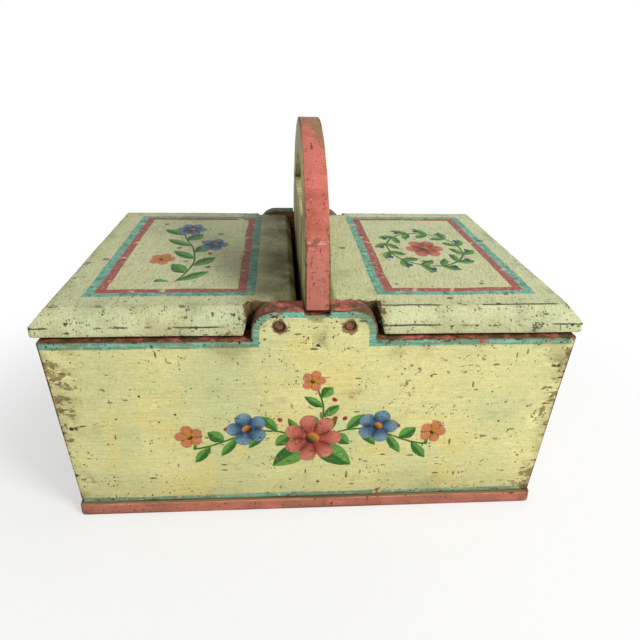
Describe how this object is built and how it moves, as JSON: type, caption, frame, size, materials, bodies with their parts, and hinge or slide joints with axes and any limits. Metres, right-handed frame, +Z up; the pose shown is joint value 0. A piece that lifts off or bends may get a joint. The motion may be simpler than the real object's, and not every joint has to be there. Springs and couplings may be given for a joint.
{
  "type": "sewing carrier",
  "caption": "Sloping-sided wooden sewing box with a lid on each side of a fixed arched board handle, each lid turning on dowel pins in raised ears.",
  "frame": {"origin": "underside of the bottom board, middle of the footprint", "axes": "+X to the right along the box's length, +Y from the front to the back along the handle, +Z up"},
  "size_m": [0.268, 0.1938, 0.1995],
  "materials": {
    "cream_paint": "worn cream-green paint over softwood",
    "coral_paint": "worn coral-red paint over softwood",
    "bare_wood": "aged bare dowel",
    "nail_iron": "dark rusted iron"
  },
  "bodies": {
    "box": {"front_board": "cream_paint", "back_board": "cream_paint", "left_side": "cream_paint", "right_side": "cream_paint", "bottom_board": "coral_paint", "divider_board": "coral_paint", "handle_arch": "coral_paint", "handle_dowels": "bare_wood", "front_left_pin": "bare_wood", "front_right_pin": "bare_wood", "back_left_pin": "bare_wood", "back_right_pin": "bare_wood", "front_corner_nails": "nail_iron", "back_corner_nails": "nail_iron", "bottom_nails": "nail_iron", "handle_nails": "nail_iron"},
    "left_cover": {"left_lid": "cream_paint"},
    "right_cover": {"right_lid": "cream_paint"}
  },
  "joints": [
    {"name": "left_lid_turn", "type": "hinge", "parent": "box", "child": "left_cover", "pos_m": [-0.0169, 0, 0.1153], "axis": [0, 1, 0], "range_deg": [0, 93]},
    {"name": "right_lid_turn", "type": "hinge", "parent": "box", "child": "right_cover", "pos_m": [0.0169, 0, 0.1153], "axis": [0, -1, 0], "range_deg": [0, 91.5]}
  ]
}
